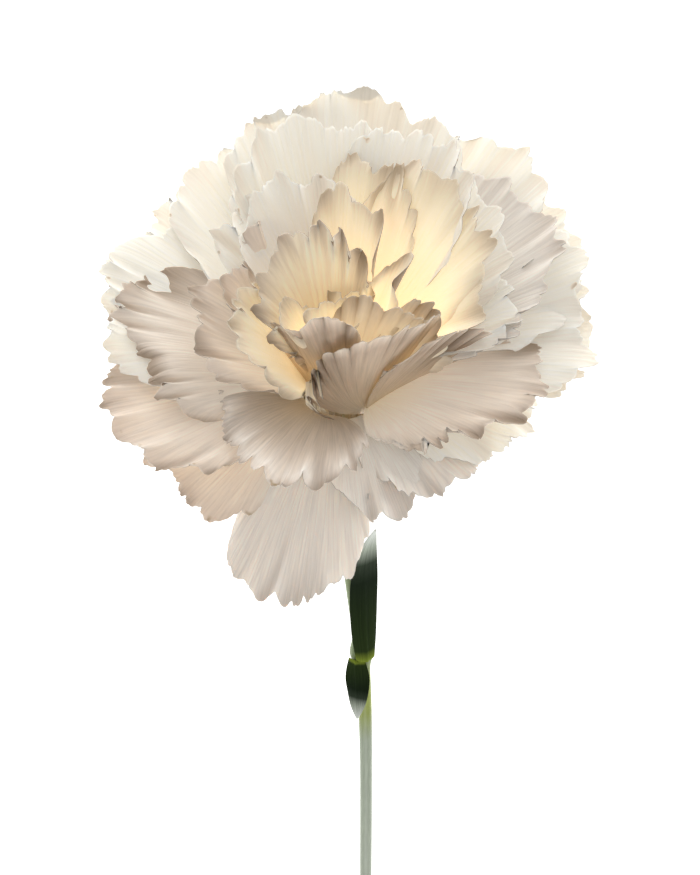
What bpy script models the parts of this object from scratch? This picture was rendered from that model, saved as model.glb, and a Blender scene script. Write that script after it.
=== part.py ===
"""A double carnation, cut, lying on a table.

The flower head is worked out upright round its own axis: +z runs out of the calyx mouth, +x is its
right and +y its back. An empty then lays it down with its back petals on the table, and the stem
runs along -Y. Lengths are in millimetres and angles in degrees, until a mesh is made in metres.
"""

import math

import bmesh
import bpy
import numpy as np

MM = 0.001

# Place of the head in the part's frame
MOUTH_X = -1.6  # centre of the calyx mouth
MOUTH_Y = 54.2
HEAD_RISE = 27.0  # the head's axis above the table
PETAL_THICKNESS = 0.28

# Calyx: (height from its mouth, outer radius), then its teeth
TUBE_WALL = 0.6
TUBE_OUTLINE = ((-23.0, 2.9), (-21.6, 4.6), (-19.0, 6.0), (-14.0, 6.8), (-7.0, 7.2), (-0.3, 7.5))
TOOTH_COUNT = 5
TOOTH_LENGTH = 5.0
TUBE_SIDES = 40

# Receptacle: (height from the mouth, radius), with the petals' feet on its top
RECEPTACLE = ((-18.6, 4.9), (-19.6, 4.5), (-21.0, 3.4), (-22.2, 2.2), (-23.4, 1.7), (-26.0, 1.5))

# Claws: the narrow feet of the petals, packed side by side in the calyx
CLAW_WIDTH = 1.2
CLAW_FOOT = -18.3
FOOT_SHARE = 0.78  # how much narrower the bunch of claws is at its foot
CLAW_RING = (2.0, 6.3)  # innermost and outermost claw's distance from the axis
CLAW_ROOM = (1.5, 0.55)  # room that a claw needs along its ring, and across it
BLADE_ROOM = 0.5  # room between two petals that lie over each other

# Each petal: direction round the axis, lean from the axis, blade length, width of its fan
OUTER_PETALS = (
    (256, 81, 33.5, 28), (227, 86, 29, 26), (190, 75, 33.5, 28), (162, 68, 34.5, 26), (140, 69, 36.5, 24),
    (119, 63, 38.5, 24), (99, 56.5, 40, 24), (80, 53, 40, 26), (55, 63, 40.5, 28), (36, 66, 39.5, 28),
    (17, 68, 38.5, 24), (0, 72, 34.5, 24), (342, 80, 29, 26), (318, 84, 22, 22), (286, 80, 22, 26),
)
MIDDLE_PETALS = (
    (177, 60, 33, 26), (232, 68, 26, 30), (324, 64, 28.5, 30), (33, 56, 36.5, 30), (101, 44, 38, 24),
    (63, 49, 38, 20), (42, 52, 34, 18), (147, 43, 30.5, 22), (178, 51, 27, 20), (15, 54, 31.5, 20),
    (204, 43, 24, 26), (338, 41, 26.5, 24), (22, 45, 30.5, 22), (48, 41, 33, 20), (78, 38.5, 36, 22),
    (104, 37, 32, 18), (125, 40, 31.5, 16),
)
INNER_PETALS = (
    (86, 34, 32, 14), (106, 27, 30, 18), (47, 33, 30, 12), (312, 26, 24, 18), (245, 20, 24, 14),
    (20, 34, 25, 14), (30, 15, 24, 10), (66, 19, 24, 12), (140, 9, 21, 10), (180, 23, 22.5, 13),
    (260, 4, 20, 8),
)

# Grid of a petal: lengths along the blade near its claw, shares of the rest, and columns across
NEAR_ROWS = (0.0, 1.5, 3.0, 5.0, 7.5, 11.0)
FAR_ROWS = (0.33, 0.66, 1.0)
COLUMN_COUNT = 7
TIP_ROUNDING = 0.22
FAN_POWER = 1.7
MOST_WRAP = math.radians(100)  # how far round the axis half a petal may reach

# Pistil: the ovary's (height, radius), and its two styles
OVARY = ((-18.3, 0.5), (-17.6, 1.1), (-15.5, 1.35), (-13.0, 1.1), (-11.4, 0.6))
STYLE_RADIUS = 0.3
STYLE_TOP = 5.0
STYLE_OFFSET = 0.5

# Stem, by length along it from the mouth
STEM_RADIUS = 1.45
STEM_LENGTH = 150.0
STEM_TAIL_RISE = 1.0  # how far its lying end rises towards the head
NECK_BEND = (45.0, 7.0)  # where the neck bends, and how gently
STEM_SIDE_SHIFT = 5.2
NODE_AT = 73.0
NODE_SWELLING = 0.75

# Leaves: direction round the stem from its top, length, width, how far they turn up or back
LEAF_THICKNESS = 0.4
LEAVES = {
    "leaf_ascending": {"side": 25, "length": 36, "width": 4.8, "lift": 6.0, "sway": 5.0, "toward": 1},
    "leaf_reflexed": {"side": -95, "length": 12, "width": 4.2, "lift": 2.5, "sway": 1.0, "toward": -1},
}

# Bracts round the foot of the calyx
BRACT_THICKNESS = 0.5
BRACT_OUTLINE = ((-22.6, 38), (-21.6, 43), (-20.2, 46), (-19.0, 44), (-16.5, 33), (-14.6, 17), (-13.6, 5))
SURFACE_GAP = 0.3

LEAN_STEP = 1.0
LEANS = np.arange(-40.0, 161.0, LEAN_STEP)
REACH_STEP = 0.25
REACHES = np.arange(0.0, 60.0, REACH_STEP)
TURN = 1.22  # a petal's tip turns out by this many times its lean


def turn_length(lean):
    return 5.0 + 5.0 * np.clip(1 - lean / 100, 0, 1)


def family_table():
    """How far out and up a petal's midline has come, for each lean and each length along it.

    The line starts upright at the mouth and turns outwards towards TURN times its lean, most of it
    within the first few millimetres. Lines of different lean never cross, so petals nest.
    """
    angle = np.radians(LEANS * TURN)[:, None] * (1 - np.exp(-REACHES / turn_length(LEANS)[:, None]))
    out = np.cumsum(np.sin(angle), axis=1) - np.sin(angle)
    up = np.cumsum(np.cos(angle), axis=1) - np.cos(angle)
    return out * REACH_STEP, up * REACH_STEP


FAMILY = family_table()


def midline(ring, lean, along):
    """(distance from the axis, height) at a length along the petal, below 0 inside the calyx."""
    inside = 1 - (1 - FOOT_SHARE) * np.minimum(along, 0) / CLAW_FOOT
    i = np.clip((lean - LEANS[0]) / LEAN_STEP, 0, len(LEANS) - 1.001)
    j = np.clip(along / REACH_STEP, 0, len(REACHES) - 1.001)
    i0, j0 = i.astype(int), j.astype(int)
    fi, fj = i - i0, j - j0

    def read(table):
        near = table[i0, j0] * (1 - fj) + table[i0, j0 + 1] * fj
        far = table[i0 + 1, j0] * (1 - fj) + table[i0 + 1, j0 + 1] * fj
        return near * (1 - fi) + far * fi

    return ring * inside + read(FAMILY[0]), read(FAMILY[1]) + np.minimum(along, 0)


def half_angle(ring, lean, length, width, along):
    """How far round the axis half of the petal reaches at a length along it, in radians."""
    share = np.clip(along / length, 0, 1.2)
    foot = CLAW_WIDTH / 2 * (1 - (1 - FOOT_SHARE) * np.minimum(along, 0) / CLAW_FOOT)
    half = foot + (width / 2 - CLAW_WIDTH / 2) * share**FAN_POWER
    angle = half / midline(ring, lean, along)[0]
    return MOST_WRAP * np.tanh(angle / MOST_WRAP)


def signed(angle):
    """The angle turned to lie within half a turn of 0, in radians."""
    return (angle + math.pi) % (2 * math.pi) - math.pi


def settle_petals(plan):
    """Ring, lean and claw direction of each petal, with room for all and close to the plan.

    The further a petal leans, the further out its claw sits in the calyx. Two claws that meet move
    apart round the axis. Two blades that lie over each other get leans that keep BLADE_ROOM between
    them from where they start to overlap.
    """
    azimuth = np.radians(plan[:, 0])
    wanted, length, width = plan[:, 1], plan[:, 2], plan[:, 3]
    count = len(plan)
    rank = np.argsort(np.argsort(wanted, kind="stable"), kind="stable")
    inner, outer = CLAW_RING
    ring = np.sqrt(inner**2 + (outer**2 - inner**2) * rank / (count - 1))
    first, second = np.triu_indices(count, 1)
    order = np.where(rank[first] > rank[second], 1.0, -1.0)
    mean_ring = (ring[first] + ring[second]) / 2
    across = np.abs(ring[first] - ring[second])

    claw = azimuth.copy()
    for _ in range(300):
        turn = signed(claw[first] - claw[second])
        side = np.where(turn >= 0, 1.0, -1.0)
        missing = np.clip(CLAW_ROOM[0] / mean_ring - np.abs(turn), 0, None)
        push = np.where(across < CLAW_ROOM[1], missing, 0) * 0.3 * side
        move = np.zeros(count)
        np.add.at(move, first, push)
        np.add.at(move, second, -push)
        claw += np.clip(move, -0.05, 0.05) + signed(azimuth - claw) * 0.003

    lean = wanted.copy()
    along = np.arange(0.0, 26.0, 0.5)[None, :]
    for _ in range(300):
        spread = turn_length(lean)[:, None]
        lift = math.radians(TURN) * (along - spread * (1 - np.exp(-along / spread)))
        tilt = np.radians(lean * TURN)[:, None] * (1 - np.exp(-along / spread))
        reach = half_angle(ring[:, None], lean[:, None] + 0 * along, length[:, None], width[:, None], along)
        centre = azimuth[:, None] + signed(claw - azimuth)[:, None] * np.exp(-along / 4)
        apart = np.abs(signed(centre[first] - centre[second]))
        over = apart < reach[first] + reach[second] + 0.03
        room = BLADE_ROOM - across[:, None] * np.cos((tilt[first] + tilt[second]) / 2)
        needed = np.clip(room, 0, None) / np.maximum((lift[first] + lift[second]) / 2, 0.02)
        needed = np.max(np.where(over, needed, 0), axis=1)
        missing = np.clip(needed - order * (lean[first] - lean[second]), 0, 3)
        shift = missing * 0.2 * order
        move = np.zeros(count)
        np.add.at(move, first, shift)
        np.add.at(move, second, -shift)
        lean += np.clip(move, -1.0, 1.0) + (wanted - lean) * 0.01
    return ring, lean, claw


def clear_scene():
    for thing in list(bpy.data.objects):
        bpy.data.objects.remove(thing, do_unlink=True)


def make_material(name, color, roughness):
    material = bpy.data.materials.new(name)
    material.use_nodes = True
    shader = material.node_tree.nodes["Principled BSDF"]
    shader.inputs["Base Color"].default_value = (*color, 1)
    shader.inputs["Roughness"].default_value = roughness
    shader.inputs["Metallic"].default_value = 0
    return material


def add_node(name, points, faces, material, parent=None):
    """A closed mesh from points in millimetres, with its faces turned outwards."""
    mesh = bpy.data.meshes.new(name)
    mesh.from_pydata((np.asarray(points) * MM).tolist(), [], faces)
    mesh.materials.append(material)
    bm = bmesh.new()
    bm.from_mesh(mesh)
    bmesh.ops.recalc_face_normals(bm, faces=bm.faces)
    if bm.calc_volume(signed=True) < 0:
        bmesh.ops.reverse_faces(bm, faces=bm.faces)
    bm.to_mesh(mesh)
    bm.free()
    node = bpy.data.objects.new(name, mesh)
    bpy.context.scene.collection.objects.link(node)
    node.parent = parent
    return node


def sheet(middle, thickness, floor=None):
    """Points and faces of a thin solid round a grid of points (rows, columns, 3).

    Each face lies half the thickness off the grid, along the grid's normals. With a floor, which is
    a function of points to their height above it, points under the floor move up to it.
    """
    down = np.gradient(middle, axis=0)
    across = np.gradient(middle, axis=1)
    normal = np.cross(across, down)
    normal /= np.linalg.norm(normal, axis=2)[:, :, None]
    half = normal * thickness / 2
    rows, columns = middle.shape[:2]
    points = np.concatenate([(middle + half).reshape(-1, 3), (middle - half).reshape(-1, 3)])
    if floor:
        points = floor(points)
    other = rows * columns
    faces = []
    for i in range(rows - 1):
        for j in range(columns - 1):
            a = i * columns + j
            quad = (a, a + 1, a + columns + 1, a + columns)
            faces.append(quad)
            faces.append(tuple(k + other for k in reversed(quad)))
    edge = [j for j in range(columns)]
    edge += [i * columns + columns - 1 for i in range(1, rows)]
    edge += [(rows - 1) * columns + j for j in range(columns - 2, -1, -1)]
    edge += [i * columns for i in range(rows - 2, 0, -1)]
    for a, b in zip(edge, edge[1:] + edge[:1]):
        faces.append((b, a, a + other, b + other))
    return points, faces


def tube(rings):
    """Points and faces of a solid through rings (count, sides, 3), with its two ends closed."""
    count, sides = rings.shape[:2]
    faces = [tuple(range(sides)), tuple(range((count - 1) * sides, count * sides))]
    for i in range(count - 1):
        for j in range(sides):
            a, b = i * sides + j, i * sides + (j + 1) % sides
            faces.append((a, b, b + sides, a + sides))
    return rings.reshape(-1, 3), faces


def lathe_rings(outline, sides):
    """Rings round the head's axis, one for each (height, radius)."""
    turn = np.arange(sides) * 2 * math.pi / sides
    return np.array([np.stack([r * np.cos(turn), r * np.sin(turn), z + 0 * turn], axis=1) for z, r in outline])


def stem_direction(along):
    """Unit vector down the stem at a length from the mouth: steep in the neck, then almost level."""
    bend, softness = NECK_BEND
    share = 1 / (1 + np.exp(-(along - bend) / softness))
    rise = np.radians(HEAD_RISE * (1 - share) + STEM_TAIL_RISE * share)
    side = STEM_SIDE_SHIFT / 50 * np.exp(-(((along - 55) / 28) ** 2)) * np.clip((along - 23) / 20, 0, 1)
    vector = np.stack([side, -np.cos(rise), -np.sin(rise)], axis=-1)
    return vector / np.linalg.norm(vector, axis=-1)[..., None]


def stem_path():
    """Points down the stem from the mouth, a millimetre apart, with the cut end lying on the table."""
    steps = stem_direction(np.arange(0.5, STEM_LENGTH, 1.0))
    path = np.concatenate([np.zeros((1, 3)), np.cumsum(steps, axis=0)])
    return path + np.array([MOUTH_X, MOUTH_Y, STEM_RADIUS - path[-1, 2]])


STEM = stem_path()
MOUTH = STEM[0]


def on_stem(along):
    """Point, direction towards the head, right and top of the stem at lengths from the mouth."""
    point = np.stack([np.interp(along, np.arange(len(STEM)), STEM[:, k]) for k in range(3)], axis=-1)
    ahead = -stem_direction(np.asarray(along, dtype=float))
    right = np.cross(ahead, np.array([0, 0, 1.0]))
    right /= np.linalg.norm(right, axis=-1)[..., None]
    return point, ahead, right, np.cross(right, ahead)


def stem_radius(along):
    """The receptacle's outline inside the calyx, then the stem with the swelling of its node."""
    depth = [-height for height, _ in RECEPTACLE]
    outline = np.interp(along, depth, [radius for _, radius in RECEPTACLE])
    swelling = NODE_SWELLING * np.exp(-(((along - NODE_AT) / 2.2) ** 2))
    return np.where(along < depth[-1], outline, STEM_RADIUS) + swelling


def make_stem(material):
    receptacle = [-height for height, _ in RECEPTACLE]
    near_node = [NODE_AT + k for k in (-5, -3, -1.5, 0, 1.5, 3, 5)]
    rest = list(np.arange(30, NODE_AT - 6, 5)) + list(np.arange(NODE_AT + 11, STEM_LENGTH - 3, 9))
    along = np.array(sorted(receptacle + near_node + rest) + [STEM_LENGTH])
    point, _, right, top = on_stem(along)
    turn = np.arange(16) * 2 * math.pi / 16
    around = right[:, None] * np.cos(turn)[None, :, None] + top[:, None] * np.sin(turn)[None, :, None]
    rings = point[:, None] + around * stem_radius(along)[:, None, None]
    add_node("stem", *tube(rings), material)


def make_calyx(material, head):
    """A tube with five teeth: up the outside, over the teeth and down the inside."""
    outline = np.array(TUBE_OUTLINE)
    heights = np.array([-23.0, -21.6, -20.2, -19.0, -16.5, -14.0, -10.0])
    radii = np.interp(heights, outline[:, 0], outline[:, 1])
    turn = np.arange(TUBE_SIDES) * 2 * math.pi / TUBE_SIDES
    phase = (turn * TOOTH_COUNT / (2 * math.pi)) % 1
    rim = outline[-1, 0] - TOOTH_LENGTH * np.abs(2 * phase - 1) ** 0.8
    circle = np.stack([np.cos(turn), np.sin(turn)], axis=1)

    def ring(radius, height):
        return np.concatenate([circle * np.reshape(radius, (-1, 1)), np.broadcast_to(height, turn.shape)[:, None]], 1)

    rim_radius = np.interp(rim, outline[:, 0], outline[:, 1])
    outside = [ring(r, z) for z, r in zip(heights, radii)] + [ring(rim_radius, rim)]
    inside = [ring(rim_radius - TUBE_WALL, rim)] + [ring(r - TUBE_WALL, z) for z, r in zip(heights, radii)][::-1]
    rings = np.array(outside + inside)
    count, sides = rings.shape[:2]
    faces = []
    for i in range(count):
        for j in range(sides):
            a, b = i * sides + j, i * sides + (j + 1) % sides
            c, d = (i + 1) % count * sides + (j + 1) % sides, (i + 1) % count * sides + j
            faces.append((a, b, c, d))
    add_node("calyx", rings.reshape(-1, 3), faces, material, head)


def make_bracts(material, head):
    """Four scales in two crossed pairs, the second pair over the first, following the tube's outline."""
    outline = np.array(TUBE_OUTLINE)
    rows = np.array(BRACT_OUTLINE, dtype=float)
    heights, half = rows[:, 0], np.radians(rows[:, 1])
    radii = np.interp(heights, outline[:, 0], outline[:, 1])
    along = np.stack([np.gradient(radii), np.gradient(heights)], axis=1)
    along /= np.linalg.norm(along, axis=1)[:, None]
    share = np.linspace(-1, 1, 9)
    for index in range(4):
        pair = index // 2
        lift = SURFACE_GAP + BRACT_THICKNESS / 2 + pair * (SURFACE_GAP + BRACT_THICKNESS)
        radius = (radii + along[:, 1] * lift)[:, None]
        height = (heights - along[:, 0] * lift)[:, None]
        angle = math.radians(index % 2 * 180 + pair * 90) + half[:, None] * share
        grid = np.stack([radius * np.cos(angle), radius * np.sin(angle), height + 0 * angle], axis=2)
        add_node(f"bract_{index + 1}", *sheet(grid, BRACT_THICKNESS), material, head)


def make_pistil(ovary_material, style_material, head):
    add_node("ovary", *tube(lathe_rings(OVARY, 12)), ovary_material, head)
    for side, name in ((-1, "style_left"), (1, "style_right")):
        heights = np.linspace(OVARY[-1][0] + SURFACE_GAP, STYLE_TOP, 5)
        rings = lathe_rings([(z, STYLE_RADIUS) for z in heights], 8)
        rings[:, :, 0] += side * STYLE_OFFSET
        add_node(name, *tube(rings), style_material, head)


def make_leaves(material):
    """Each leaf clasps the node with its foot, then runs along the stem, lifting off and swaying."""
    share = np.linspace(-1, 1, 5)
    for name, leaf in LEAVES.items():
        along = np.linspace(0, 1, 9)
        point, ahead, right, top = on_stem(NODE_AT - leaf["toward"] * along * leaf["length"])
        side = math.radians(leaf["side"])
        out = right * math.sin(side) + top * math.cos(side)
        beside = right * math.cos(side) - top * math.sin(side)
        half = leaf["width"] / 2 * np.sin(math.pi * np.clip(0.22 + 0.76 * along, 0, 1)) ** 0.8
        radius = STEM_RADIUS + NODE_SWELLING + SURFACE_GAP + LEAF_THICKNESS / 2 + leaf["lift"] * along**1.6
        trough = 1 + 6 * along
        bend = half[:, None] * share[None, :] / (radius / (1 + 0 * along) * trough)[:, None]
        round_radius = (radius * trough)[:, None]
        grid = (
            point[:, None]
            + out[:, None] * (radius[:, None] + round_radius * (np.cos(bend) - 1))[:, :, None]
            + beside[:, None] * (round_radius * np.sin(bend) + leaf["sway"] * (along**2)[:, None])[:, :, None]
        )
        add_node(name, *sheet(grid, LEAF_THICKNESS), material)


def rest_on_table(points):
    """Points of the head pushed straight up to the table where they would be under it."""
    rise = math.radians(HEAD_RISE)
    up = np.array([0, -math.cos(rise), math.sin(rise)])
    height = points @ up + MOUTH[2]
    return points - np.minimum(height, 0)[:, None] * up


def petal_grid(azimuth, ring, lean, claw, length, width):
    """Middle surface of a petal: its claw straight up the calyx, then its fan on the family's surface."""
    share = np.linspace(-1, 1, COLUMN_COUNT)
    last = NEAR_ROWS[-1]
    rows = [CLAW_FOOT + 0 * share] + [near + 0 * share for near in NEAR_ROWS]
    rows += [last + (length * (1 - TIP_ROUNDING * np.abs(share) ** 3) - last) * far for far in FAR_ROWS]
    along = np.array(rows)
    distance, height = midline(ring, lean, along)
    centre = azimuth + signed(claw - azimuth) * np.exp(-np.clip(along, 0, None) / 4)
    angle = centre + half_angle(ring, lean, length, width, along) * share[None, :]
    return np.stack([distance * np.cos(angle), distance * np.sin(angle), height], axis=2)


def make_petals(material, head):
    plan = np.array(OUTER_PETALS + MIDDLE_PETALS + INNER_PETALS, dtype=float)
    ring, lean, claw = settle_petals(plan)
    names = []
    for whorl, petals in (("outer", OUTER_PETALS), ("middle", MIDDLE_PETALS), ("inner", INNER_PETALS)):
        names += [f"{whorl}_petal_{k + 1:02d}" for k in range(len(petals))]
    for k, name in enumerate(names):
        azimuth, length, width = math.radians(plan[k, 0]), plan[k, 2], plan[k, 3]
        grid = petal_grid(azimuth, ring[k], lean[k], claw[k], length, width)
        add_node(name, *sheet(grid, PETAL_THICKNESS, rest_on_table), material, head)


def main():
    clear_scene()
    petal = make_material("petal", (0.88, 0.85, 0.76), 0.55)
    green = make_material("stem", (0.33, 0.42, 0.25), 0.5)
    calyx = make_material("calyx", (0.28, 0.38, 0.2), 0.5)
    leaf = make_material("leaf", (0.13, 0.2, 0.09), 0.5)
    bract = make_material("bract", (0.35, 0.42, 0.24), 0.5)
    ovary = make_material("ovary", (0.5, 0.6, 0.3), 0.45)
    style = make_material("style", (0.9, 0.88, 0.8), 0.5)
    head = bpy.data.objects.new("head", None)
    bpy.context.scene.collection.objects.link(head)
    head.location = (MOUTH * MM).tolist()
    head.rotation_euler = (math.radians(HEAD_RISE - 90), 0, 0)
    make_stem(green)
    make_calyx(calyx, head)
    make_bracts(bract, head)
    make_leaves(leaf)
    make_pistil(ovary, style, head)
    make_petals(petal, head)


main()
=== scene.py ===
import math

import bmesh
import bpy
import numpy as np
from mathutils import Matrix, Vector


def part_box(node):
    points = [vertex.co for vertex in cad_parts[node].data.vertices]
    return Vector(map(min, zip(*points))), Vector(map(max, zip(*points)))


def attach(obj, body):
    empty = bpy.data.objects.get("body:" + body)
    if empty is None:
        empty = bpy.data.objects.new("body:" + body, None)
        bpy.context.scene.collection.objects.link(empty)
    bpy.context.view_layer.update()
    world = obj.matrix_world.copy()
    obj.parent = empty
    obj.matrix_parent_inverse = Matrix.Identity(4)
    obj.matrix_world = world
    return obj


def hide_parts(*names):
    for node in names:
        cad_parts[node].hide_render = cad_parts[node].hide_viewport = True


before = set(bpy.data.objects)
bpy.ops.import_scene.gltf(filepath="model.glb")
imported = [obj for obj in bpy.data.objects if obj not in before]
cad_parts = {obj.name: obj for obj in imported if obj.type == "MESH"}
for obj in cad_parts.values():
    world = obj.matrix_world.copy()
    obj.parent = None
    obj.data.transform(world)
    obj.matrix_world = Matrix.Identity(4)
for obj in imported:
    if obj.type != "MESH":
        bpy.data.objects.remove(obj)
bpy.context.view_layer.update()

mm = 0.001

# Each petal lies on a surface turned round the head's axis, and leans by its own angle. Lengths are in
# mm, and heights from the mouth of the calyx
nest = {
    "headRise": 27.0,  # of the head's axis above the table, in degrees
    "turn": 1.22,  # a petal's tip turns out by this many times its lean
    "turnLength": (5.0, 5.0, 100),  # least, what being upright adds, and the lean that adds none
    "clawFoot": -18.3, "clawWidth": 1.2,
    "footShare": 0.78,  # width of the claws' bunch at its foot over that at the mouth
    "clawRing": (2.0, 6.3),  # distance of the first and the last claw from the axis
    "clawRoom": (1.5, 0.55),  # room round the axis, and the difference in distance that needs none
    "clawBlend": 4,  # length over which a blade leaves its claw's direction
    "bladeRoom": 0.5,
    "widening": (1.7, 1.2),  # power of the length that a settling blade widens by, and its end
    "mostWrap": math.radians(100),
    "styleTop": 5.0, "styleRadius": 0.3,
}

leanSteps = np.arange(-40.0, 161.0, 1.0)
reachStep = 0.25
reachSteps = np.arange(0.0, 60.0, reachStep)


def headPlace():
    # Both styles end a known height above the mouth, on the head's sloping axis
    left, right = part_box("style_left"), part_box("style_right")
    rise = math.radians(nest["headRise"])
    top, radius = nest["styleTop"], nest["styleRadius"]
    x = (left[0].x + left[1].x + right[0].x + right[1].x) / 4 / mm
    y = left[1].y / mm - top * math.cos(rise) - radius * math.sin(rise)
    z = left[1].z / mm - top * math.sin(rise) - radius * math.cos(rise)
    return np.array([x, y, z])


mouth = headPlace()
print("mouth of the calyx at", mouth.round(2))


def headToTable(points):
    # Turned about x until the head's axis rises by headRise, then moved to the mouth
    rise = math.radians(nest["headRise"])
    x, y, z = points[..., 0], points[..., 1], points[..., 2]
    turned = [x, y * math.sin(rise) + z * math.cos(rise), z * math.sin(rise) - y * math.cos(rise)]
    return np.stack(turned, axis=-1) + mouth


def turnLength(lean):
    # Length over which a petal turns out: less by a straight line as it leans
    least, more, farLean = nest["turnLength"]
    return least + more * np.clip(1 - lean / farLean, 0, 1)


def nestingLines():
    # For each lean, a line that turns out towards turn x lean: running sums of its angle's sine and cosine
    early = 1 - np.exp(-reachSteps / turnLength(leanSteps)[:, None])
    angle = np.radians(leanSteps * nest["turn"])[:, None] * early
    out = np.cumsum(np.sin(angle), axis=1) - np.sin(angle)
    up = np.cumsum(np.cos(angle), axis=1) - np.cos(angle)
    return out * reachStep, up * reachStep


lines = nestingLines()


def bunchShare(along):
    # Width of the claws' bunch over that at the mouth: a straight line down to footShare
    return 1 - (1 - nest["footShare"]) * np.minimum(along, 0) / nest["clawFoot"]


def midline(ring, lean, along):
    # Distance from the axis and height at a length along a petal, between the lines' steps
    i = np.clip(lean - leanSteps[0], 0, len(leanSteps) - 1.001)
    j = np.clip(along / reachStep, 0, len(reachSteps) - 1.001)
    i0, j0 = i.astype(int), j.astype(int)
    fi, fj = i - i0, j - j0

    def read(table):
        near = table[i0, j0] * (1 - fj) + table[i0, j0 + 1] * fj
        far = table[i0 + 1, j0] * (1 - fj) + table[i0 + 1, j0 + 1] * fj
        return near * (1 - fi) + far * fi

    return ring * bunchShare(along) + read(lines[0]), read(lines[1]) + np.minimum(along, 0)


def held(angle, most):
    # The angle, held under the most by a tanh
    return most * np.tanh(angle / most)


def halfAngle(ring, lean, length, width, along):
    # Half the width over the distance from the axis; the width grows by a power of the length
    claw = nest["clawWidth"] / 2
    power, reach = nest["widening"]
    half = claw * bunchShare(along) + (width / 2 - claw) * np.clip(along / length, 0, reach) ** power
    return held(half / midline(ring, lean, along)[0], nest["mostWrap"])


def signed(angle):
    # The same angle between minus and plus half a turn
    return (angle + math.pi) % (math.tau) - math.pi


# In a round, petals move by a share of what is missing, up to the most, and a share of the way home
settling = {
    "rounds": 300,
    "claw": (0.3, 0.05, 0.003),
    "blade": (0.2, 1.0, 0.01),
    "heights": (26.0, 0.5),  # where blades are compared: up to the first, by the second
    "overlap": 0.03,  # blades this near round the axis lie over each other
    "leastLift": 0.02,  # that a degree of lean lifts a blade by
    "mostMissing": 3,
}


def apartBy(shift, first, second, count, most):
    # The sum over a petal's pairs, a pair's first up and its second down
    move = np.zeros(count)
    np.add.at(move, first, shift)
    np.add.at(move, second, -shift)
    return np.clip(move, -most, most)


def settlePetals(plan):
    # Claws move apart round the axis, to the room over their distance from it. Then blades that overlap
    # lean apart, by the missing gap over the lift from a degree of lean
    azimuth = np.radians(plan[:, 0])
    wanted, length, width = plan[:, 1], plan[:, 2], plan[:, 3]
    count = len(plan)
    rank = np.argsort(np.argsort(wanted, kind="stable"), kind="stable")
    inner, outer = nest["clawRing"]
    ring = np.sqrt(inner**2 + (outer**2 - inner**2) * rank / (count - 1))
    first, second = np.triu_indices(count, 1)
    order = np.where(rank[first] > rank[second], 1.0, -1.0)
    meanRing = (ring[first] + ring[second]) / 2
    across = np.abs(ring[first] - ring[second])

    claw = azimuth.copy()
    room, near = nest["clawRoom"]
    share, most, home = settling["claw"]
    for _ in range(settling["rounds"]):
        turn = signed(claw[first] - claw[second])
        side = np.where(turn >= 0, 1.0, -1.0)
        missing = np.clip(room / meanRing - np.abs(turn), 0, None)
        push = np.where(across < near, missing, 0) * share * side
        claw += apartBy(push, first, second, count, most) + signed(azimuth - claw) * home

    lean = wanted.copy()
    along = np.arange(0.0, *settling["heights"])[None, :]
    share, most, home = settling["blade"]
    for _ in range(settling["rounds"]):
        spread = turnLength(lean)[:, None]
        lift = math.radians(nest["turn"]) * (along - spread * (1 - np.exp(-along / spread)))
        tilt = np.radians(lean * nest["turn"])[:, None] * (1 - np.exp(-along / spread))
        leanGrid = lean[:, None] + 0 * along
        reach = halfAngle(ring[:, None], leanGrid, length[:, None], width[:, None], along)
        centre = azimuth[:, None] + signed(claw - azimuth)[:, None] * np.exp(-along / nest["clawBlend"])
        apart = np.abs(signed(centre[first] - centre[second]))
        over = apart < reach[first] + reach[second] + settling["overlap"]
        gap = nest["bladeRoom"] - across[:, None] * np.cos((tilt[first] + tilt[second]) / 2)
        needed = np.clip(gap, 0, None) / np.maximum((lift[first] + lift[second]) / 2, settling["leastLift"])
        needed = np.max(np.where(over, needed, 0), axis=1)
        missing = np.clip(needed - order * (lean[first] - lean[second]), 0, settling["mostMissing"])
        shift = missing * share * order
        lean += apartBy(shift, first, second, count, most) + (wanted - lean) * home
    return ring, lean, claw


def smoothThrough(values, share):
    # A curve through even values, each stretch the cubic that also looks at its neighbours
    values = np.asarray(values, dtype=float)
    ends = np.concatenate([[2 * values[0] - values[1]], values, [2 * values[-1] - values[-2]]])
    step = np.clip(share, 0, 0.99999) * (len(values) - 1)
    k = step.astype(int)
    t = step - k
    p0, p1, p2, p3 = ends[k], ends[k + 1], ends[k + 2], ends[k + 3]
    return p1 + 0.5 * t * (p2 - p0 + t * (2 * p0 - 5 * p1 + 4 * p2 - p3 + t * (3 * (p1 - p2) + p3 - p0)))


def waver(rng, share, knots):
    # A curve through that many normal random values and one more
    return smoothThrough(rng.normal(size=max(int(knots), 1) + 1), share)


# A petal's values unless it has its own
petalDefaults = {
    "look": None,  # its material, if it isn't its ring's
    "grow": 1.0,  # times its length
    "fan": None,  # angle between the fan's sides, if width and length don't say
    "tilt": 0.0,  # added to the lean that it settles at
    "aside": 0.0,  # turns the fan sideways
    "wrap": 1.0,  # bend round the axis: 0 is flat, 2 is a narrow cup
    "claw": None,  # direction and distance from the axis, if set
    "ruffle": 1.0,  # height of the waves near the margin
    "ruffleLength": 6.5,
    "frill": 1.0,  # the small lobes right at the margin
    "frillLength": 2.3,
    "fold": 1.0,  # broad hollows down the blade
    "hook": 1.0,  # how far the margin rolls in or out
    "teeth": 0.42,  # depth of the notches
    "toothWidth": 0.9,
    "pleats": 0,  # shell-like flutes, and how deep they are
    "pleatDepth": 1.0,
    "scallop": 0.05,  # how far the flutes stand out at the margin
    "corner": 0.16,  # share of the length cut off at the sides
    "edge": (0.84, 0.97, 1.0, 0.97, 0.84),  # share of the length, from side to side
}


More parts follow.
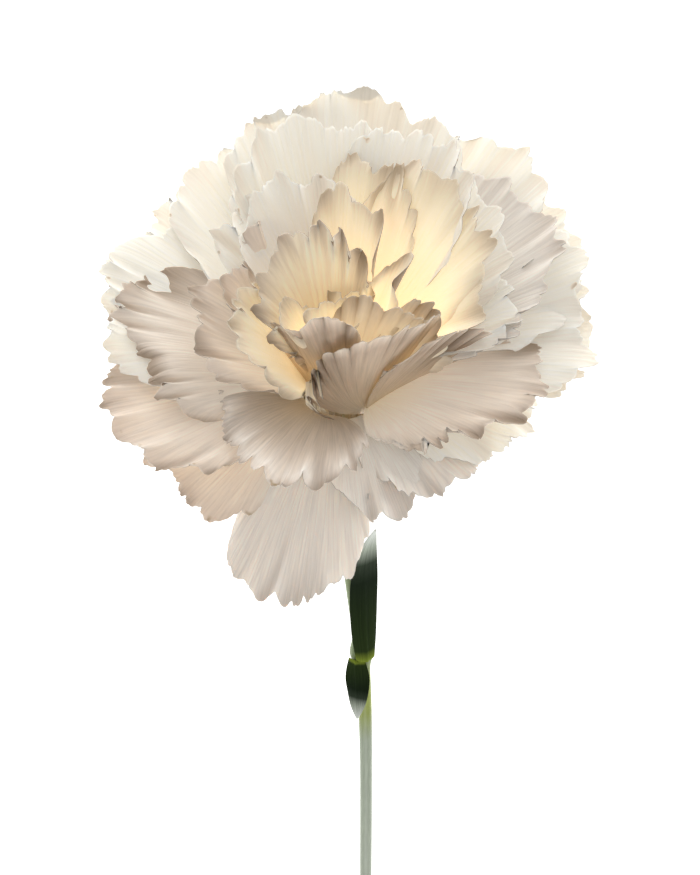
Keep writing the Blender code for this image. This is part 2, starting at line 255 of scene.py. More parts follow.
def petal(azimuth, lean, length, width, **own):
    # The defaults, its planned place, then its own values
    return {**petalDefaults, "place": (azimuth, lean, length, width), "heading": azimuth, **own}


# Direction round the axis, lean, length and width of each petal, then what is its own
petals = {"outer": [
    petal(256, 81, 33.5, 28, look="lower", heading=258, grow=0.96, fan=50, ruffle=0.7, fold=1.5,
          edge=(0.86, 0.97, 1, 0.95, 0.74)),
    petal(227, 86, 29, 26, look="middle", heading=221, fan=62, ruffle=0.8, fold=1.5,
          edge=(0.84, 0.86, 0.88, 0.88, 0.6)),
    petal(190, 75, 33.5, 28, look="middle", heading=193, grow=0.94, ruffle=0.8, fold=1.4,
          edge=(0.84, 0.97, 1, 0.93, 0.8)),
    petal(162, 68, 34.5, 26),
    petal(140, 69, 36.5, 24),
    petal(119, 63, 38.5, 24, hook=0.5),
    petal(99, 56.5, 40, 24, hook=0.5),
    petal(80, 53, 40, 26, grow=0.97, hook=0.5, edge=(0.84, 1, 1.04, 0.96, 0.84)),
    petal(55, 63, 40.5, 28, fan=70, ruffle=0.6),
    petal(36, 66, 39.5, 28, fan=66, ruffle=0.6),
    petal(17, 68, 38.5, 24, grow=0.97, fan=62, ruffle=0.6),
    petal(0, 72, 34.5, 24, heading=14, fan=56, edge=(0.9, 0.93, 0.97, 1, 0.9)),
    petal(342, 80, 29, 26, heading=351, grow=0.9),
    petal(318, 84, 22, 22, look="lower", heading=322, grow=0.97),
    petal(286, 80, 22, 26, look="lower", heading=288, grow=0.95, fan=50),
], "middle": [
    petal(177, 60, 33, 26, heading=178, fan=60, tilt=3, edge=(0.98, 1, 0.9, 0.86, 0.76)),
    petal(232, 68, 26, 30, look="front", heading=236, grow=0.95, fan=92, tilt=-8, ruffle=0.5,
          ruffleLength=6, frill=1.8, fold=0.8, edge=(1, 0.84, 0.88, 1, 0.92)),
    petal(324, 64, 28.5, 30, heading=333, grow=1.1, fan=84, tilt=5, wrap=0.7, ruffle=0.9, frill=1.3,
          edge=(0.5, 0.6, 0.8, 0.98, 0.98)),
    petal(33, 56, 36.5, 30, look="lower", fan=70, ruffle=0.6),
    petal(101, 44, 38, 24, look="outer"),
    petal(63, 49, 38, 20, look="outer"),
    petal(42, 52, 34, 18, look="outer", ruffle=0.7),
    petal(147, 43, 30.5, 22, heading=140, grow=0.88, fan=62, tilt=-6, ruffle=0.8),
    petal(178, 51, 27, 20, heading=172, grow=0.9),
    petal(15, 54, 31.5, 20, look="outer", heading=12, grow=0.88, fan=34),
    petal(204, 43, 24, 26, look="core", heading=190, grow=1.02, fan=74, tilt=-14, aside=-12, wrap=1.2,
          claw=(240, 4.5), ruffle=0.7, frill=1.2, edge=(0.95, 1.02, 1.02, 0.9, 0.8)),
    petal(338, 41, 26.5, 24, look="shell", heading=285, grow=0.95, fan=56, tilt=-41, aside=49, wrap=0,
          claw=(327, 6.6), ruffle=0.3, frill=0.6, hook=0.2, pleats=12, pleatDepth=1.1, scallop=0.1,
          corner=0.05, edge=(0.6, 0.98, 1.05, 0.98, 0.92)),
    petal(22, 45, 30.5, 22, look="inner", heading=14, grow=0.88, fan=36),
    petal(48, 41, 33, 20, look="inner"),
    petal(78, 38.5, 36, 22, look="inner", heading=74, grow=0.93, fan=32, wrap=0.7, ruffle=0.6, hook=0.3),
    petal(104, 37, 32, 18, look="outer", heading=112, grow=1.03, fan=44),
    petal(125, 40, 31.5, 16, look="outer", heading=126, grow=0.97, fan=44),
], "inner": [
    petal(86, 34, 32, 14, heading=84, grow=0.98, fan=25),
    petal(106, 27, 30, 18, look="shell", heading=130, fan=76, wrap=0.8, ruffle=1.2, ruffleLength=4.5,
          edge=(0.76, 0.9, 0.97, 0.8, 0.4)),
    petal(47, 33, 30, 12, heading=30, grow=0.92, fan=30, wrap=2.2, edge=(0.7, 0.86, 1, 0.86, 0.7)),
    petal(312, 26, 24, 18, look="shell", heading=290, grow=1.06, fan=80, tilt=-18, aside=2, wrap=0.3,
          claw=(326, 6), ruffle=0.15, frill=0.5, hook=0.2, teeth=0.35, pleats=13, pleatDepth=1.1,
          scallop=0.12, edge=(0.42, 0.68, 0.9, 0.98, 0.9)),
    petal(245, 20, 24, 14, look="shell", heading=270, grow=1.1, fan=50, tilt=-14, aside=-17, wrap=0.3,
          claw=(245, 3.3), ruffle=0.2, frill=0.5, hook=0.1, pleats=7, pleatDepth=1.3, scallop=0.1,
          edge=(0.5, 0.8, 0.84, 1.07, 0.85)),
    petal(20, 34, 25, 14, look="core", heading=272, fan=40, tilt=-50, aside=38, wrap=0, claw=(345, 3.6),
          hook=0.5, pleats=7, pleatDepth=1.1, scallop=0.08, edge=(0.7, 0.93, 1, 0.75, 0.4)),
    petal(30, 15, 24, 10, look="core", heading=270, fan=44, tilt=-15, aside=20, wrap=0, claw=(325, 2.6),
          ruffle=0.3, frill=0.5, hook=0.3, pleats=9, pleatDepth=1.1, scallop=0.08),
    petal(66, 19, 24, 12, look="core", heading=48, grow=0.84, tilt=-5, hook=0.5,
          edge=(0.62, 0.8, 0.98, 0.97, 0.84)),
    petal(140, 9, 21, 10, look="core", ruffle=0.5, hook=0.5),
    petal(180, 23, 22.5, 13, look="core", wrap=2.4, ruffle=0.4, frill=0.4, hook=0.5),
    petal(260, 4, 20, 8, look="core", ruffle=0.5, hook=0.5),
]}

petalMesh = {
    "rowsPerMm": 1.25, "columnsPerMm": 3.95, "clawRows": 5,
    "mostSpan": 38,  # a longer margin has no more columns
    "clawThickness": 0.34, "marginThickness": 0.13,
    "thinning": 0.7,  # power of the height
    "fanFromWidth": (2.7, 1.8, 0.92),  # times the angle whose sine is width over so many lengths; its most
    "fanOpening": 2.5,
    "uvWidth": 30,  # width of a petal that fills the UV map
}

# The waves across a petal, with phases in lengths of the wave
petalWave = {
    "wander": 1.2,  # how far the ruffles stray towards the foot
    "ruffle": (0.25, 0.75, 0.6),  # waver of the phase, strength and its waver
    "halfRuffle": (0.3, 1.3),  # height and phase
    "frill": (0.35, 0.7, 0.6, 0.8, 0.4),  # waver of the phase, power, level, strength and its waver
    "tooth": (0.3, 0.6, 0.7, 0.7, 0.6),
    "flute": (0.12, 0.75, 0.65),
    "creaseAside": 0.12,
    "lobe": (0.036, 0.022, 0.8),  # the margin's waver, and height and phase of its lobes
    "frillReach": 0.9,
    "fold": (1.3, 0.3),  # heights of the hollows and of the creases
    "crimp": (0.7, 0.4),  # height of a full ridge, and the creases' part in it
}
# Heights of the waves at the margin, and lengths they fade over
petalFade = {
    "ruffle": (1.1, 3.2), "frill": (0.6, 1.3), "flute": (1.0, 3.6), "hook": (0.6, 2.8), "slide": (0.5, 2.5),
}


def scallops(rng, v01, count, shape):
    # Round lobes with notches between: a sine's size to a power, less a level, times the strength
    phaseWaver, power, level, strength, strengthWaver = shape
    phase = count * v01 + phaseWaver * waver(rng, v01, count / 2) + rng.random()
    lobes = np.abs(np.sin(math.pi * phase)) ** power - level
    return lobes * (strength + strengthWaver * waver(rng, v01, count / 2))


def petalPattern(own, rng, span, u, v01):
    # Ruffles are a sine and a lower one of half its length, frills, teeth and flutes are scallops, and the
    # rest are wavers
    count = span / own["ruffleLength"]
    wander = petalWave["wander"] * (1 - u) * waver(rng, v01, 3)
    phaseWaver, strength, strengthWaver = petalWave["ruffle"]
    phase = count * v01 + phaseWaver * waver(rng, v01, count + 2) + rng.random()
    half, halfPhase = petalWave["halfRuffle"]
    ruffle = np.sin(math.tau * (phase + wander)) + half * np.sin(4 * math.pi * phase + halfPhase)
    strength = strength + strengthWaver * waver(rng, v01, count)
    frill = scallops(rng, v01, span / own["frillLength"], petalWave["frill"])
    broad = waver(rng, v01, 3)
    aside = petalWave["creaseAside"] * (1 - u) * waver(rng, v01, 2)
    crease = waver(rng, v01 + aside, 6)
    hook = waver(rng, v01, 7)
    tooth = scallops(rng, v01, span / own["toothWidth"], petalWave["tooth"])
    lobeWaver, lobeHeight, lobePhase = petalWave["lobe"]
    lobe = lobeWaver * waver(rng, v01, 5) + lobeHeight * np.sin(math.tau * phase + lobePhase)
    flute = 0
    if own["pleats"]:
        phaseWaver, power, level = petalWave["flute"]
        pleatPhase = own["pleats"] * v01 + phaseWaver * waver(rng, v01, own["pleats"])
        flute = np.abs(np.sin(math.pi * pleatPhase)) ** power - level
    slide = strength * np.sin(4 * math.pi * phase)
    return strength * ruffle, slide, frill, broad, crease, hook, tooth, lobe, flute


def unit(vectors):
    # Each vector over its length
    return vectors / np.linalg.norm(vectors, axis=-1)[..., None]


def gridFrame(grid):
    # Unit vectors across a grid and square to it: one slope, and that crossed with the other
    across = unit(np.gradient(grid, axis=1))
    return across, unit(np.cross(across, np.gradient(grid, axis=0)))


def petalSheet(own, ring, lean, claw, seed):
    # A column is a ray from the claw at share v of the fan's half angle, a row at share u of it. Its cosine
    # part runs up the nesting surface and its sine part round it, on a circle that the wrap narrows. Waves
    # move the point along the normal, each times a power of u or an exponential of the distance from the
    # margin. The crimp is a tanh of the waves: 0 in a hollow and 1 on a ridge
    _, _, length, width = own["place"]
    length = length * own["grow"]
    azimuth = math.radians(own["heading"])
    if own["claw"]:
        claw, ring = math.radians(own["claw"][0]), own["claw"][1]
    times, lengths, most = petalMesh["fanFromWidth"]
    fan = own["fan"] or times * math.degrees(math.asin(min(most, width / lengths / length)))
    span = length * math.radians(fan)
    rows = int(length * petalMesh["rowsPerMm"])
    columns = int(min(span, petalMesh["mostSpan"]) * petalMesh["columnsPerMm"]) + 1
    t = np.linspace(0, 1, rows + 1)[1:]
    u = (t * (1.5 - 0.5 * t))[:, None]  # rows closer near the margin
    v = np.linspace(-1, 1, columns)[None, :]
    v01 = (v + 1) / 2
    pattern = petalPattern(own, np.random.default_rng(seed), span, u, v01)
    ruffle, slide, frill, broad, crease, hook, tooth, lobe, flute = pattern

    reach = smoothThrough(own["edge"], v01) + lobe + own["scallop"] * flute
    reach = reach + own["frill"] * petalWave["frillReach"] / length * frill
    reach = reach + own["teeth"] / length * tooth - own["corner"] * np.abs(v) ** 7
    ray = u * length * (1 + (reach - 1) * u**1.5)
    theta = np.radians(fan / 2 * v + own["aside"]) * (1 - np.exp(-ray / petalMesh["fanOpening"]))

    clawAlong = nest["clawFoot"] * (1 - np.linspace(0, 1, petalMesh["clawRows"] + 1)[:, None]) + 0 * v
    blank = 0 * clawAlong
    along = np.concatenate([clawAlong, ray * np.cos(theta)])
    beside = nest["clawWidth"] / 2 * bunchShare(along) * v + np.concatenate([blank, ray * np.sin(theta)])
    u = np.concatenate([blank[:, :1], u])
    ruffle = np.concatenate([blank, ruffle])
    crease = np.concatenate([blank, crease]) * u**3

    distance, height = midline(ring, lean + own["tilt"], along)
    outward, sideways = distance, beside
    if own["wrap"]:
        curve = own["wrap"] / distance
        bend = held(beside * curve, nest["mostWrap"] * max(own["wrap"], 1))
        outward, sideways = distance - (1 - np.cos(bend)) / curve, np.sin(bend) / curve
    centre = azimuth + signed(claw - azimuth) * np.exp(-np.clip(along, 0, None) / nest["clawBlend"])
    outX, outY = np.cos(centre), np.sin(centre)
    grid = np.stack([outward * outX - sideways * outY, outward * outY + sideways * outX, height], axis=2)

    across, normal = gridFrame(grid)
    rim = (1 - u) * length
    near = {wave: high * np.exp(-rim / fade) for wave, (high, fade) in petalFade.items()}
    crimp = own["ruffle"] * ruffle * near["ruffle"] + own["frill"] * frill * near["frill"]
    crimp = crimp + own["pleatDepth"] * flute * near["flute"]
    broadHeight, creaseHeight = petalWave["fold"]
    waves = crimp + own["fold"] * (broadHeight * broad * u**2 + creaseHeight * crease)
    waves = waves + own["hook"] * hook * near["hook"]
    slide = own["ruffle"] * slide * near["slide"]
    grid = grid + normal * waves[:, :, None] + across * slide[:, :, None]
    ridge, creasePart = petalWave["crimp"]
    return grid, u, v01, 0.5 + 0.5 * np.tanh(crimp / ridge + creasePart * crease)


def restOnTable(points, soft=0.25):
    # Height becomes half of itself plus the root of its square plus soft's
    height = points[..., 2]
    points[..., 2] = (height + np.sqrt(height**2 + soft**2)) / 2
    return points


def newObject(name, data):
    # An object in the scene
    thing = bpy.data.objects.new(name, data)
    bpy.context.scene.collection.objects.link(thing)
    return thing


def gridMesh(name, points, faces, cornerShares):
    # A smooth mesh with a UV map from its corners' shares
    mesh = bpy.data.meshes.new(name)
    mesh.from_pydata(points.tolist(), [], faces)
    mesh.uv_layers.new(name="shareUv").data.foreach_set("uv", cornerShares.astype(np.float32).ravel())
    mesh.shade_smooth()
    return newObject(name, mesh)


def sheetMesh(name, middle, thickness, across, along):
    # Two skins half a thickness to each side of a grid, joined round its rim. The UV map is the shares, the
    # inner skin's 2 further across
    half = gridFrame(middle)[1] * thickness[:, :, None] / 2
    rows, columns = middle.shape[:2]
    points = np.concatenate([(middle + half).reshape(-1, 3), (middle - half).reshape(-1, 3)]) * mm
    index = np.arange(rows * columns).reshape(rows, columns)
    front = np.stack([index[:-1, :-1], index[:-1, 1:], index[1:, 1:], index[1:, :-1]], axis=-1).reshape(-1, 4)
    other = rows * columns
    back = front[:, ::-1] + other
    edge = np.concatenate([index[0, :-1], index[:-1, -1], index[-1, :0:-1], index[:0:-1, 0]])
    nextEdge = np.roll(edge, -1)
    rim = np.stack([nextEdge, edge, edge + other, nextEdge + other], axis=-1)
    faces = np.concatenate([front, back, rim])
    outer = np.stack(np.broadcast_arrays(across, along), axis=-1).reshape(-1, 2)
    both = np.concatenate([outer, outer + [2, 0]])
    return gridMesh(name, points, faces.tolist(), both[faces.ravel()])


def tubeMesh(name, rings, capped=True):
    # Rings joined one to the next; the ends are closed flat, or the last ring is joined to the first
    count, sides = rings.shape[:2]
    row, column = np.meshgrid(np.arange(count - 1 if capped else count), np.arange(sides), indexing="ij")
    rows = np.stack([row, row, row + 1, row + 1], axis=-1).reshape(-1, 4)
    columns = np.stack([column, column + 1, column + 1, column], axis=-1).reshape(-1, 4)
    faces = (rows % count * sides + columns % sides).tolist()
    shares = np.stack([columns / sides, rows / (count - 1)], axis=-1).reshape(-1, 2)
    if capped:
        faces += [list(range(sides)), list(range((count - 1) * sides, count * sides))]
        shares = np.concatenate([shares, np.repeat([[0.5, 0], [0.5, 1]], sides, axis=0)])
    piece = gridMesh(name, rings.reshape(-1, 3) * mm, faces, shares)
    work = bmesh.new()
    work.from_mesh(piece.data)
    bmesh.ops.recalc_face_normals(work, faces=work.faces)
    work.to_mesh(piece.data)
    work.free()
    return piece


def place(piece, node, slotName, look=None):
    # A piece gets its material and its part in the frame
    piece.data.materials.append(materials[look or slotName])
    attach(piece, "root")
    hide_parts(node)


def buildPetals():
    # Each petal has its own seed and gets thinner by a power of its height. The outer skin has the crimp,
    # and the inner skin 1 less it
    every = [(ring, k + 1, own) for ring, row in petals.items() for k, own in enumerate(row)]
    rings, leans, claws = settlePetals(np.array([own["place"] for _, _, own in every], dtype=float))
    thin, thick = petalMesh["marginThickness"], petalMesh["clawThickness"]
    for k, (ring, number, own) in enumerate(every):
        grid, u, v01, crimp = petalSheet(own, rings[k], leans[k], claws[k], 500 + k)
        grid = restOnTable(headToTable(grid))
        thickness = thick + (thin - thick) * u ** petalMesh["thinning"] + 0 * v01
        across = v01 * own["place"][3] / petalMesh["uvWidth"]
        piece = sheetMesh(f"{ring}Petal{number:02d}", grid, thickness, across, u)
        # The material paints shade from the crimp: darker in the hollows, a little lighter on the ridges
        both = np.concatenate([crimp.ravel(), 1 - crimp.ravel()]).astype(np.float32)
        piece.data.attributes.new("crimp", "FLOAT", "POINT").data.foreach_set("value", both)
        place(piece, f"{ring}_petal_{number:02d}", "petal", own["look"] or ring)
    print("petals:", len(every))


# Lengths run from the mouth down the stem
stem = {
    "length": 150, "headRise": 27.0, "tailRise": 1.0,
    "bend": (45, 7),  # where the neck turns level, and how softly
    "sway": (0.104, 55, 28),  # sideways slope, where it is most, and how far it spreads
    "swayFrom": (23, 20),  # where it begins, and the length it comes in over
    "cadRadius": 1.45, "neckRadius": 1.4, "tailRadius": 1.1, "taper": (60, 100),
    "lowering": (75, 110),  # where the thin tail comes down to the table
    "nodeAt": 73, "nodeSwelling": 0.75, "nodeLength": 2.2,
    "groove": 0.05, "grooves": 8,  # depth as a share of the radius, and how many waves
    "receptacleDepth": (18.6, 19.6, 21, 22.2, 23.4, 26),
    "receptacleRadius": (4.9, 4.5, 3.4, 2.2, 1.7, 1.4),
    "cutRings": (0.9, 0.55, 0.1), "cutBevel": 0.1,  # the last rings' shares of the radius
    "sides": 40, "step": 0.5,
}


def stemDirection(along):
    # It falls by headRise, then by tailRise, the change an S curve, and goes sideways by a bell curve
    bend, softness = stem["bend"]
    share = 1 / (1 + np.exp(-(along - bend) / softness))
    rise = np.radians(stem["headRise"] * (1 - share) + stem["tailRise"] * share)
    sway, centre, spread = stem["sway"]
    begin, comesIn = stem["swayFrom"]
    side = sway * np.exp(-(((along - centre) / spread) ** 2)) * np.clip((along - begin) / comesIn, 0, 1)
    return unit(np.stack([side, -np.cos(rise), -np.sin(rise)], axis=-1))


def onStem(along):
    # Point, right and top of the stem at lengths from the mouth: sums of 1 mm steps
    steps = stemDirection(np.arange(0.5, stem["length"], 1.0))
    path = mouth + np.concatenate([np.zeros((1, 3)), np.cumsum(steps, axis=0)])
    point = np.stack([np.interp(along, np.arange(len(path)), path[:, k]) for k in range(3)], axis=-1)
    ahead = -stemDirection(along)
    right = unit(np.cross(ahead, [0, 0, 1.0]))
    return point, right, np.cross(right, ahead)


def stemRadius(along):
    # The receptacle's outline, then a slow taper, plus a bell-shaped swelling at the node
    taper = np.interp(along, stem["taper"], (stem["neckRadius"], stem["tailRadius"]))
    outline = np.interp(along, stem["receptacleDepth"], stem["receptacleRadius"])
    swelling = stem["nodeSwelling"] * np.exp(-(((along - stem["nodeAt"]) / stem["nodeLength"]) ** 2))
    return np.where(along < stem["receptacleDepth"][-1], outline, taper) + swelling


def buildStem():
    # Rings with grooves, a squared cosine round the stem, low enough to lie on the table, and narrower
    # rings for the cut face
    end = stem["length"]
    along = np.arange(stem["receptacleDepth"][0], end, stem["step"])
    along = np.concatenate([along, [end - stem["cutBevel"], end, end, end]])
    point, right, top = onStem(along)
    radius = stemRadius(along)
    point[:, 2] -= np.interp(along, stem["lowering"], (0, 1)) * (stem["cadRadius"] - radius)
    radius[-3:] *= stem["cutRings"]
    turn = np.linspace(0, math.tau, stem["sides"], endpoint=False)
    groove = 1 - stem["groove"] * np.cos(stem["grooves"] * turn) ** 2
    around = right[:, None] * np.cos(turn)[None, :, None] + top[:, None] * np.sin(turn)[None, :, None]
    rings = point[:, None] + around * (radius[:, None] * groove)[:, :, None]
    place(tubeMesh("stemSurface", rings), "stem", "stem")
    print("stem from", point[0].round(1), "to", point[-1].round(1))


# From the node towards the head (1) or the cut end (-1)
leaves = {
    "leaf_ascending": {"side": 20, "length": 39.5, "width": 5.0, "lift": 6, "sway": 2.6, "toward": 1},
    "leaf_reflexed": {"side": -22, "length": 12, "width": 4.4, "lift": 1.6, "sway": 0.2, "toward": -1},
}
leafMesh = {
    "rows": 90, "columns": 28,
    "middle": 0.42, "margin": 0.16,  # thickness
    "gap": 0.3,  # between the leaf's foot and the node
    "outline": (0.22, 0.775, 0.8),  # start, stretch and power of the half sine
    "liftPower": 1.6,
    "opening": 6,  # how much wider the trough gets
    "keel": (0.25, 0.12),  # height and width
    "ripple": (0.18, 11, 2),  # height, and phase along and across
}


def buildLeaves():
    # A trough that lifts off the stem by a power of the length. Its outline is part of a sine, its keel a
    # bell curve across it, and a low sine ripples its margins
    v = np.linspace(-1, 1, leafMesh["columns"] + 1)[None, :]
    u = np.linspace(0, 1, leafMesh["rows"] + 1)[:, None]
    begin, through, power = leafMesh["outline"]
    outline = np.sin(math.pi * np.clip(begin + through * u, 0, 1)) ** power
    rippleHeight, rippleAlong, rippleAcross = leafMesh["ripple"]
    wave = rippleHeight * np.sin(rippleAlong * u + rippleAcross * v) * v**2 * np.sin(math.pi * u)
    keelHeight, keelWidth = leafMesh["keel"]
    keel = keelHeight * np.exp(-((v / keelWidth) ** 2)) * (1 - u)
    thickness = leafMesh["margin"] + (leafMesh["middle"] - leafMesh["margin"]) * (1 - v**2) + 0 * u
    foot = stem["cadRadius"] + stem["nodeSwelling"] + leafMesh["gap"]
    for node, leaf in leaves.items():
        point, right, top = onStem(stem["nodeAt"] - leaf["toward"] * u[:, 0] * leaf["length"])
        side = math.radians(leaf["side"])
        out = right * math.sin(side) + top * math.cos(side)
        beside = right * math.cos(side) - top * math.sin(side)
        radius = foot + leaf["lift"] * u ** leafMesh["liftPower"]
        trough = radius * (1 + leafMesh["opening"] * u)
        bend = leaf["width"] / 2 * outline * v / trough
        outward = radius + trough * (np.cos(bend) - 1) + wave + keel
        sideways = trough * np.sin(bend) + leaf["sway"] * u**2
        middle = point[:, None] + out[:, None] * outward[:, :, None] + beside[:, None] * sideways[:, :, None]
        name = "leaf" + node.split("_")[1].capitalize()
        place(sheetMesh(name, middle, thickness, (v + 1) / 2, u), node, "leaf")
    print("leaves:", len(leaves))


# Outlines as height and radius, or half width in degrees
calyx = {
    "height": (-23, -21.6, -19, -14, -7, -0.3),
    "radius": (2.9, 4.6, 6, 6.8, 7.2, 7.5),
    "wall": 0.6,
    "toothCount": 5, "toothLength": 5.0, "toothPower": 0.8,
    "rib": 0.07, "ribCount": 35,  # height of the fine ribs
    "sides": 210, "rows": 40,
}
bract = {
    "height": (-22.6, -21.6, -20.2, -19, -16.5, -14.6, -13.2),
    "halfWidth": (38, 43, 46, 44, 33, 17, 1.5),
    "room": 0.5, "gap": 0.3,  # thickness left for a bract
    "margin": 0.15, "swelling": 0.3,  # thickness, and how much thicker the middle is
    "keel": (0.15, 0.15),
    "rows": 48, "columns": 32,
}


def buildCalyx():
    # Ribbed circles up the outside and down the inside; the teeth are a triangle wave to a power
    turn = np.linspace(0, math.tau, calyx["sides"], endpoint=False)
    phase = turn * calyx["toothCount"] / (math.tau) % 1
    rim = calyx["height"][-1] - calyx["toothLength"] * np.abs(2 * phase - 1) ** calyx["toothPower"]
    share = np.linspace(0, 1, calyx["rows"])[:, None]
    height = calyx["height"][0] + (rim - calyx["height"][0]) * share
    radius = np.interp(height, calyx["height"], calyx["radius"])
    inside = radius - calyx["wall"]
    radius = radius + calyx["rib"] * (np.cos(calyx["ribCount"] * turn) - 1) * (1 - share**8)
    height, radius = np.concatenate([height, height[::-1]]), np.concatenate([radius, inside[::-1]])
    rings = np.stack([radius * np.cos(turn), radius * np.sin(turn), height], axis=2)
    place(tubeMesh("calyxTube", headToTable(rings), capped=False), "calyx", "calyx")


def buildBracts():
    # Two crossed pairs: the tube's outline moved out along its normal, twice for the second
    v = np.linspace(-1, 1, bract["columns"] + 1)[None, :]
    height = np.linspace(bract["height"][0], bract["height"][-1], bract["rows"] + 1)
    u = ((height - height[0]) / (height[-1] - height[0]))[:, None]
    half = np.radians(np.interp(height, bract["height"], bract["halfWidth"]))
    radii = np.interp(height, calyx["height"], calyx["radius"])
    slope = unit(np.stack([np.gradient(radii), np.gradient(height)], axis=1))
    keelHeight, keelWidth = bract["keel"]
    keel = keelHeight * np.exp(-((v / keelWidth) ** 2)) * u
    thickness = bract["margin"] + bract["swelling"] * (1 - v**4) + 0 * u
    for k in range(4):
        layer = k // 2
        lift = bract["gap"] + bract["room"] / 2 + layer * (bract["gap"] + bract["room"])
        radius = (radii + slope[:, 1] * lift)[:, None] + keel
        angle = math.radians(k % 2 * 180 + layer * 90) + half[:, None] * v
        level = (height - slope[:, 0] * lift)[:, None] + 0 * angle
        grid = headToTable(np.stack([radius * np.cos(angle), radius * np.sin(angle), level], axis=2))
        piece = sheetMesh(f"bract{k + 1}", grid, thickness, (v + 1) / 2, u)
        place(piece, f"bract_{k + 1}", "bract")
    print("calyx and 4 bracts")


pistil = {
    "height": (-18.3, -17.6, -15.5, -13, -11.4),
    "radius": (0.5, 1.1, 1.35, 1.1, 0.6),
    "styleFoot": -11.1, "styleOffset": 0.5, "styleSway": 0.08,
    "styleThin": 0.8,  # share of the radius at its foot
    "styleTip": (12, 1.04),  # how steeply it closes, and where it would come to a point
    "rows": 60, "sides": 32,
}


def buildPistil():
    # The ovary's outline turned round the axis, and thin tubes swayed by a sine
    turn = np.linspace(0, math.tau, pistil["sides"], endpoint=False)
    share = np.linspace(0, 1, pistil["rows"])[:, None]
    height = pistil["height"][0] + (pistil["height"][-1] - pistil["height"][0]) * share
    radius = np.interp(height, pistil["height"], pistil["radius"])
    rings = np.stack(np.broadcast_arrays(radius * np.cos(turn), radius * np.sin(turn), height), axis=2)
    place(tubeMesh("ovaryBody", headToTable(rings)), "ovary", "ovary")
    height = pistil["styleFoot"] + (nest["styleTop"] - pistil["styleFoot"]) * share
    steepness, point = pistil["styleTip"]
    radius = nest["styleRadius"] * (pistil["styleThin"] + (1 - pistil["styleThin"]) * share)
    radius = radius * np.clip(steepness * (point - share), 0, 1)
    offset = pistil["styleOffset"] + pistil["styleSway"] * np.sin(math.pi * share)
    for side, name in ((-1, "left"), (1, "right")):
        x = side * offset + radius * np.cos(turn)
        rings = np.stack(np.broadcast_arrays(x, radius * np.sin(turn), height), axis=2)
        place(tubeMesh("style" + name.capitalize(), headToTable(rings)), "style_" + name, "style")
    print("ovary and 2 styles")
